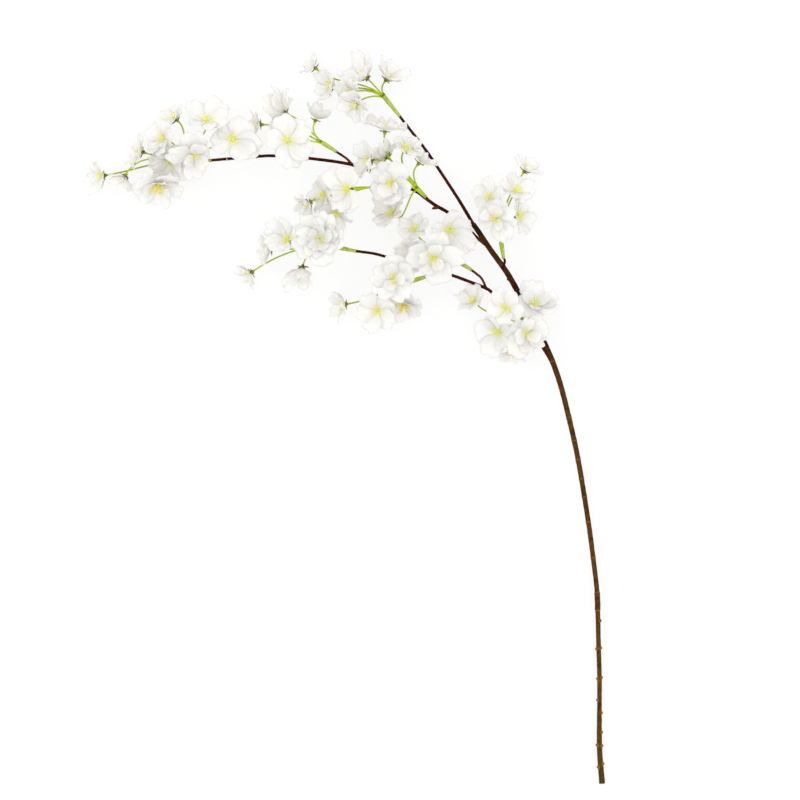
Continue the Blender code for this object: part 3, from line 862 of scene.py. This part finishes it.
def stand_copies(r, asked, points, rotation, size):
    """The end of a tree: copies of its part on points, as one mesh with its finish."""
    shape = r.node("GeometryNodeObjectInfo", None, {"Object": asked["Part"]}, "Geometry")
    stood = r.node("GeometryNodeInstanceOnPoints", None, {
        "Points": points, "Instance": shape, "Rotation": rotation, "Scale": size,
    }, "Instances")
    real = r.node("GeometryNodeRealizeInstances", None, {"Geometry": stood}, "Geometry")
    sockets = {"Geometry": real, "Material": asked["Finish"]}
    done = r.node("GeometryNodeSetMaterial", None, sockets, "Geometry")
    r.node("NodeGroupOutput", None, {"Copies": done})


def whorl_tree():
    """Stands copies of one part round every point, tilted off the way the point aims."""
    tree, r, asked = new_tree("whorl_of_parts", "Points", (
        ("Part", "Object"), ("Count", "Int"), ("Tilt", "Float"), ("Tilt Spread", "Float"),
        ("Turn Spread", "Float"), ("Size Spread", "Float"), ("Seed", "Int"), ("Finish", "Material"),
    ))
    copies = r.node(
        "GeometryNodeDuplicateElements", {"domain": "POINT"},
        {"Geometry": asked["Points"], "Amount": asked["Count"]}, "Geometry",
    )
    number = r.another(copies, "Duplicate Index")

    def wobble(spread_by, salt):
        return r.node("FunctionNodeRandomValue", {"data_type": "FLOAT"}, {
            "Min_001": spread_by * -1.0, "Max_001": spread_by, "Seed": asked["Seed"] + salt,
        }, "Value_001")

    def named(name, kind):
        return r.node(
            "GeometryNodeInputNamedAttribute", {"data_type": kind}, {"Name": name}, "Attribute"
        )

    spin = number * (2 * math.pi) / asked["Count"] + wobble(asked["Turn Spread"], 1)
    tilt = asked["Tilt"] + wobble(asked["Tilt Spread"], 2)
    euler = r.node("ShaderNodeCombineXYZ", None, {"Y": tilt, "Z": spin}, "Vector")
    local = r.node("FunctionNodeEulerToRotation", None, {"Euler": euler}, "Rotation")
    aimed = r.node(
        "FunctionNodeAlignRotationToVector", {"axis": "Z"}, {"Vector": named("aim", "FLOAT_VECTOR")},
        "Rotation",
    )
    turned = r.node(
        "FunctionNodeRotateRotation", {"rotation_space": "LOCAL"},
        {"Rotation": aimed, "Rotate By": local}, "Rotation",
    )
    size = named("size", "FLOAT") * (wobble(asked["Size Spread"], 3) + 1.0)
    stand_copies(r, asked, copies, turned, size)
    return tree


def grown(name, tree, body, inputs):
    """A piece that a Geometry Nodes tree makes from a body mesh, as plain mesh."""
    piece = linked(name, body)
    modifier = piece.modifiers.new("grow", "NODES")
    modifier.node_group = tree
    asked = [item for item in tree.interface.items_tree if item.in_out == "INPUT"]
    sockets = {item.name: item.identifier for item in asked}
    for label, value in inputs.items():
        modifier[sockets[label]] = value
    settled_mesh(piece)
    return piece


def points_mesh(name, places, aims, sizes):
    """Loose points, each with the way it aims and its size."""
    mesh = bpy.data.meshes.new(name)
    mesh.from_pydata((np.array(places) * MM).tolist(), [], [])
    aim = mesh.attributes.new("aim", "FLOAT_VECTOR", "POINT")
    aim.data.foreach_set("vector", np.array(aims, np.float32).ravel())
    size = mesh.attributes.new("size", "FLOAT", "POINT")
    size.data.foreach_set("value", np.array(sizes, np.float32))
    return mesh


def stamen_part(gold):
    """One thread stamen, bowed a little, with an oval head."""
    build = Build()
    shares = np.linspace(0, 1, len(THREAD_RADII))
    route = np.stack((THREAD_BOW * shares ** 2, 0 * shares, THREAD_LENGTH * shares), axis=1)
    corners, faces = tube(route, THREAD_RADII, 5)
    up = corners[:, 2]
    build.add(corners, faces, np.stack((np.full(len(up), gold), up / STAMEN_HEIGHT, 0 * up), axis=1))
    lengths, radii = np.array(HEAD_PROFILE).T
    route = np.stack((THREAD_BOW + HEAD_LEAN * lengths, 0 * lengths, HEAD_MIDDLE + lengths), axis=1)
    build.add_tube(route, radii, 6, (gold, 1.0, 1.0))
    return build.piece(f"stamen_part_{int(gold)}", "stamen", "stamen_yellow")


def throat_part(gold):
    """The domed pad that the stamens stand in."""
    heights, radii = np.array(THROAT_PROFILE).T
    build = Build()
    build.add_tube(np.stack((0 * heights, 0 * heights, heights), axis=1), radii, 14, (gold, 0.05, 0.0))
    return build.piece(f"throat_part_{int(gold)}", "stamen", "stamen_yellow")


def sepal_part(name, kind, length, half):
    """A narrow pointed sepal that starts at the calyx's rim, with a keel and a bent-back point."""
    across, along = grid(-1, 1, 5, 7)
    width = half * np.sin(np.pi * np.clip(0.25 + 0.75 * along, 0, 1)) ** 0.8 + 0.05
    out = SEPAL_START + length * along
    keel = SEPAL_KEEL * across ** 2 * width - SEPAL_BEND * along ** 2
    sheet = np.stack((keel, across * width, out), axis=2)
    corners, faces, kept = shell(sheet)
    build = Build()
    kept = np.stack((np.full(len(kept), kind), kept[:, 1], kept[:, 2]), axis=1)
    build.add(corners, faces, kept)
    return build.piece(name, "sepal", "calyx_olive")


# ---------------------------------------------------------------- stalks and stems


def sleeve_of(pick):
    """A sleeve's start and hub in the model's frame, and the way it points."""
    start, hub = (np.array(p, float) + SHIFT for p in pick)
    return start, hub, (hub - start) / np.linalg.norm(hub - start)


def stalk_path(pick, number, base, opening):
    """From inside the sleeve to the calyx: out along the sleeve, and in from behind the petals."""
    _, hub, along = sleeve_of(pick)
    end = base - opening * TOUCH_GAP
    neck = end - opening * CALYX_LENGTH
    sideways = neck - hub - along * ((neck - hub) @ along)
    sideways /= np.linalg.norm(sideways)
    root = hub - along * (STALK_ROOT + STALK_STAGGER * number) + sideways * STALK_OFFSET
    bow = np.linalg.norm(neck - root) * STALK_BOW
    first, second = root + along * bow, neck - opening * bow
    t = np.linspace(0, 1, 25)[:, None]
    left = 1 - t
    curve = root * left ** 3 + first * 3 * t * left ** 2 + second * 3 * t * t * left + neck * t ** 3
    return curve, neck, end


def stalks_of(name, pick, flowers, draw):
    """One moulding: the sleeve, its stalks and their calyxes, merged into one skin."""
    build, line = Build(), Line()
    start, hub, along = sleeve_of(pick)
    shares = np.linspace(0, 1, 26)
    foot = start - along * SLEEVE_GRIP
    route = foot + np.outer(shares, hub + along * SLEEVE_PAST_HUB - foot)
    build.add_tube(route, [profile_at(SLEEVE_PROFILE, s) for s in shares], 18)
    line.add(route, [(1.0, 0.0, 0.5)] * len(route))
    for number, flower in enumerate(flowers, 1):
        opening = flower.turn[:, 2]
        curve, neck, end = stalk_path(pick, number, flower.base, opening)
        cup_shares = np.linspace(0, 1, 13)
        route = np.concatenate((curve[:-1], neck + np.outer(cup_shares, end - neck)))
        radii = [STALK_RADIUS] * (len(curve) - 1)
        radii += [profile_at(CALYX_PROFILE, s) for s in cup_shares]
        build.add_tube(route, radii, SMALL_SIDES)
        bright = draw.uniform(0.2, 1.0)
        fade = np.linspace(0, 1, len(curve) - 1)
        stalk = [(max(0.0, 0.6 - 4 * f), 0.0, bright) for f in fade]
        line.add(route, stalk + [(0.0, min(1.0, max(0.0, 3 * s - 0.6)), bright) for s in cup_shares])
    piece = build.piece(f"{name}_stalks_finished", "stalk", "stalk_green")
    merged(piece, STALK_VOXEL, STALK_SOFTENING)
    keep(piece.data, "stalk", line.nearest(corners_of(piece.data) / MM))
    return piece


def arc_of(route):
    return np.concatenate(([0.0], np.cumsum(np.linalg.norm(np.diff(route, axis=0), axis=1))))


def bumps(place, marks, width):
    """How near a place is to each mark: 1 on it, and 0 well past its width."""
    return [math.exp(-((place - mark) / width) ** 2) for mark in marks]


def stem_piece(name, route, radii, twigs, buds, rings, knobs, sides, voxel, finish):
    """A stem with its node rings, twigs, buds and knobs, merged into one skin with bark relief."""
    build, line = Build(), Line()
    points = smooth_route(route, 1.0)
    arc = arc_of(points)
    marks = [arc[np.argmin(np.linalg.norm(points - (np.array(ring) + SHIFT), axis=1))] for ring in rings]
    widths = []
    for place in arc:
        swell = sum(RING_SWELL * bump for bump in bumps(place, marks, RING_WIDTH))
        crack = sum(CRACK_DEPTH * bump for bump in bumps(place, marks, CRACK_WIDTH))
        joint = knobs and marks[JOINT_RINGS[0]] < place < marks[JOINT_RINGS[1]]
        widths.append(spread(radii, place / arc[-1]) + swell - crack + (JOINT_SWELL if joint else 0.0))
    build.add_tube(points, widths, sides)
    line.add(points, [
        (place / arc[-1], max(bumps(place, marks, CRACK_WIDTH)), 0.0) for place in arc
    ])
    for twig in twigs:
        small = smooth_route(twig, 1.0)
        shares = np.linspace(0, 1, len(small))
        build.add_tube(small, [spread(TWIG_RADII, s) for s in shares], SMALL_SIDES)
        line.add(small, [(1.0, 0.0, 0.0)] * len(small))
    for root, point in buds:
        small = smooth_route((root, point), 0.6)
        shares = np.linspace(0, 1, len(small))
        build.add_tube(small, BUD_RADIUS * (1 - shares ** 3) + BUD_POINT, SMALL_SIDES)
        line.add(small, [(1.0, 0.0, 0.35 * s) for s in shares])
    for up, side in knobs:
        middle = points[np.argmin(np.abs(points[:, 1] - up - SHIFT[1]))]
        radius = spread(radii, (up - route[0][1]) / (route[-1][1] - route[0][1]))
        out = np.array((side, 0.0, KNOB_RISE))
        out /= np.linalg.norm(out)
        small = np.array([middle + out * radius * far for far, _ in KNOB_PROFILE])
        build.add_tube(small, [wide for _, wide in KNOB_PROFILE], SMALL_SIDES)
        scar = (0.3, 0.0, 1.0) if up < PALE_KNOBS_BELOW else (0.87, 0.0, 0.2)
        line.add(small[1:] + out * 0.5, [scar] * (len(small) - 1))
    piece = build.piece(f"{name}_bark", "bark", finish)
    merged(piece, voxel, STEM_SOFTENING)
    mesh = piece.data
    corners, normals = corners_of(mesh), vectors_of(mesh.vertex_normals, "vector")
    keep(mesh, "bark", line.nearest(corners / MM))
    corners += normals * (relief(corners) * MM)[:, None]
    mesh.vertices.foreach_set("co", corners.astype(np.float32).ravel())
    mesh.update()
    return piece


def relief(corners):
    """Height of the bark at each corner, in mm: long low ridges and small pits."""
    heights = []
    for corner in corners / MM:
        ridge = noise.noise(Vector(corner * RIDGE_GRAIN))
        pit = noise.noise(Vector(corner * PIT_GRAIN + PIT_SHIFT))
        heights.append(RIDGE_HEIGHT * ridge + PIT_DEPTH * pit)
    return np.array(heights)


def lenticel_part():
    """A low lens-shaped pore that runs across the bark."""
    shares = np.linspace(-1, 1, 7)
    route = np.stack((PORE_HALF * shares, 0 * shares, 0 * shares), axis=1)
    build = Build()
    build.add_tube(route, PORE_RADIUS * np.sqrt(1.04 - shares ** 2), 6, (0.3, 0.0, 0.7))
    return build.piece("lenticel_part", "bark", "olive_bark")


def lenticel_tree():
    """Scatters copies of one part over a stem's skin, each lying across the stem."""
    tree, r, asked = new_tree("scatter_on_bark", "Skin", (
        ("Part", "Object"), ("Density", "Float"), ("Seed", "Int"), ("Finish", "Material"),
    ))
    points = r.node("GeometryNodeDistributePointsOnFaces", None, {
        "Mesh": asked["Skin"], "Density": asked["Density"], "Seed": asked["Seed"],
    }, "Points")
    upright = r.node("FunctionNodeAlignRotationToVector", {"axis": "Z"}, {
        "Vector": r.another(points, "Normal"),
    }, "Rotation")
    lying = r.node("FunctionNodeAlignRotationToVector", {"axis": "Y", "pivot_axis": "Z"}, {
        "Rotation": upright, "Vector": ACROSS_STEMS,
    }, "Rotation")
    size = r.node("FunctionNodeRandomValue", {"data_type": "FLOAT"}, {
        "Min_001": PORE_SIZES[0], "Max_001": PORE_SIZES[1], "Seed": 5,
    }, "Value_001")
    stand_copies(r, asked, points, lying, size)
    return tree


# ---------------------------------------------------------------- putting the spray together


def all_flowers():
    """Every flower of each pick: those with a solid first, then the fillers."""
    flowers = {pick: [] for pick in PICKS}
    for name in sorted(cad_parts):
        if "_blossom_" in name:
            flower = flower_on(name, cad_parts[name])
            flowers[flower.pick].append(flower)
    for pick, fillers in FILLERS.items():
        flowers[pick] += [filler_on(pick, number, filler) for number, filler in enumerate(fillers, 1)]
    return flowers


def feet_of(flowers, lift, least, more, times=1.0):
    """Where a part stands on each flower, the way it aims there, and its size."""
    return (
        [f.base + f.turn[:, 2] * lift for f in flowers],
        [f.turn[:, 2] for f in flowers],
        [(least + more * f.radius / FULL_RADIUS) * times for f in flowers],
    )


def grow_whorls(tree, name, slot, feet, seed, part, shape):
    """One piece: a whorl of parts at each foot."""
    inputs = {"Part": part, "Seed": seed, "Finish": FINISHES[slot], **shape}
    hand_over(grown(name, tree, points_mesh(name, *feet), inputs), slot)


def dress_flowers(flowers):
    whorls = whorl_tree()
    stamens = [stamen_part(0.0), stamen_part(1.0)]
    throats = [throat_part(0.0), throat_part(1.0)]
    sepals = [
        sepal_part("sepal_part_green", 0.0, SEPAL_LENGTH, SEPAL_HALF),
        sepal_part("sepal_part_brown", 1.0, SEPAL_LENGTH, SEPAL_HALF),
    ]
    bract = sepal_part("bract_part", 0.3, BRACT_LENGTH, BRACT_HALF)
    seed = 0
    for pick, group in flowers.items():
        for flower in group:
            seed += 1
            petals = petals_of(flower, np.random.default_rng(seed))
            nodes = (flower.name,) if flower.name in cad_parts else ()
            hand_over(petals, "petal_fabric", *nodes)
        for gold in (0, 1):
            chosen = [f for f in group if (f.name in GOLDEN_FLOWERS) == bool(gold)]
            if not chosen:
                continue
            tag, times, count = ("golden_", GOLDEN_SIZE, GOLDEN_STAMENS) if gold else ("", 1.0, STAMENS)
            feet = feet_of(chosen, STAMEN_FOOT, *STAMEN_SIZES, times)
            for name, part, shape in (
                ("stamens", stamens[gold], {"Count": count, **STAMEN_WHORL}),
                ("throats", throats[gold], THROAT_WHORL),
            ):
                grow_whorls(whorls, f"{pick}_{tag}{name}", "stamen_yellow", feet, seed, part, shape)
        for kind, tag in enumerate(("green", "brown")):
            feet = feet_of(group[kind::2], SEPAL_FOOT, *SEPAL_SIZES)
            name = f"{pick}_{tag}_sepals"
            grow_whorls(whorls, name, "calyx_olive", feet, seed, sepals[kind], SEPAL_WHORL)
        _, hub, along = sleeve_of(PICKS[pick])
        feet = ([hub - along], [along], [1.0])
        grow_whorls(whorls, f"{pick}_bracts", "calyx_olive", feet, seed, bract, BRACT_WHORL)
        stalks = stalks_of(pick, PICKS[pick], group, np.random.default_rng(STALK_SEED + seed))
        hand_over(stalks, "stalk_green", f"{pick}_stalks")
    for part in [*stamens, *throats, *sepals, bract]:
        bpy.data.objects.remove(part)


def dress_stems():
    slender = (BRANCH_SIDES, BRANCH_VOXEL, "red_bark")
    pieces = {name: stem_piece(name, *made_of) for name, made_of in {
        "main_stem": (
            STEM_ROUTE, STEM_RADII, STEM_TWIGS, (), STEM_RINGS, STEM_KNOBS,
            STEM_SIDES, STEM_VOXEL, "olive_bark",
        ),
        "top_branch": (TOP_ROUTE, TOP_RADII, (), (), TOP_RINGS, (), *slender),
        "arching_branch": (
            ARCHING_ROUTE, ARCHING_RADII, ARCHING_TWIGS, ARCHING_BUDS, ARCHING_RINGS, (), *slender,
        ),
        "lower_branch": (LOWER_ROUTE, LOWER_RADII, LOWER_TWIGS, (), LOWER_RINGS, (), *slender),
    }.items()}
    pore, scatter = lenticel_part(), lenticel_tree()
    for name, piece in pieces.items():
        slot = "olive_bark" if name == "main_stem" else "red_bark"
        pores = grown(f"{name}_lenticels", scatter, piece.data.copy(), {
            "Part": pore, "Density": PORES_PER_SQUARE_METRE, "Seed": 7, "Finish": FINISHES[slot],
        })
        hand_over(pores, slot)
        hand_over(piece, slot, name)
    bpy.data.objects.remove(pore)


# ---------------------------------------------------------------- stage


WHITE = (1.0, 1.0, 1.0, 1.0)
FLOOR_SIZE = 8.0  # metres
FLOOR_DROP = 0.0006
CAMERA_LENS, CAMERA_SENSOR = 200.0, 36.0
FRAME_WIDTH = 0.88  # metres across the view, at the height of the flowers
CAMERA_RIGHT, CAMERA_UP, FLOWER_HEIGHT = 0.0594, 0.0203, 0.022
FLOOR_GREY, FLOOR_GLOW = 0.9, 0.8  # the matt share's shade, and how much of the floor lights itself
ROOM_LIGHT = 1.2
LAMPS = (("soft_key", (-2.4, 2.2, 3.6), 1.4, 22.0), ("soft_fill", (2.6, -1.4, 4.2), 2.4, 16.0))


def lay_floor():
    half = FLOOR_SIZE / 2
    corners = [(x * half, y * half, -FLOOR_DROP) for x, y in ((-1, -1), (1, -1), (1, 1), (-1, 1))]
    mesh = bpy.data.meshes.new("floor")
    mesh.from_pydata(corners, [], [(0, 1, 2, 3)])
    material, r = new_material("pale_floor")
    grey = (FLOOR_GREY, FLOOR_GREY, FLOOR_GREY, 1.0)
    matt = r.node("ShaderNodeBsdfDiffuse", None, {"Color": grey}, "BSDF")
    lit = r.node("ShaderNodeEmission", None, {"Color": WHITE, "Strength": 1.0}, "Emission")
    output(r, r.node("ShaderNodeMixShader", None, {0: FLOOR_GLOW, 1: matt, 2: lit}, 0))
    mesh.materials.append(material)
    linked("floor", mesh)


def aim_light(name, place, size, power):
    lamp = bpy.data.lights.new(name, "AREA")
    lamp.shape, lamp.size, lamp.energy = "DISK", size, power
    made = linked(name, lamp)
    made.location = place
    made.rotation_euler = (-Vector(place)).to_track_quat("-Z", "Y").to_euler()


def light_and_camera():
    world = bpy.data.worlds.new("white_room")
    world.use_nodes = True
    background = world.node_tree.nodes["Background"].inputs
    background["Color"].default_value, background["Strength"].default_value = WHITE, ROOM_LIGHT
    SCENE.world = world
    for lamp in LAMPS:
        aim_light(*lamp)
    SCENE.view_settings.view_transform = "Standard"
    lens = bpy.data.cameras.new("camera")
    lens.lens, lens.sensor_width = CAMERA_LENS, CAMERA_SENSOR
    camera = linked("camera", lens)
    height = FLOWER_HEIGHT + CAMERA_LENS * FRAME_WIDTH / CAMERA_SENSOR
    camera.location = (CAMERA_RIGHT, CAMERA_UP, height)
    SCENE.camera = camera


dress_stems()
dress_flowers(all_flowers())
lay_floor()
light_and_camera()
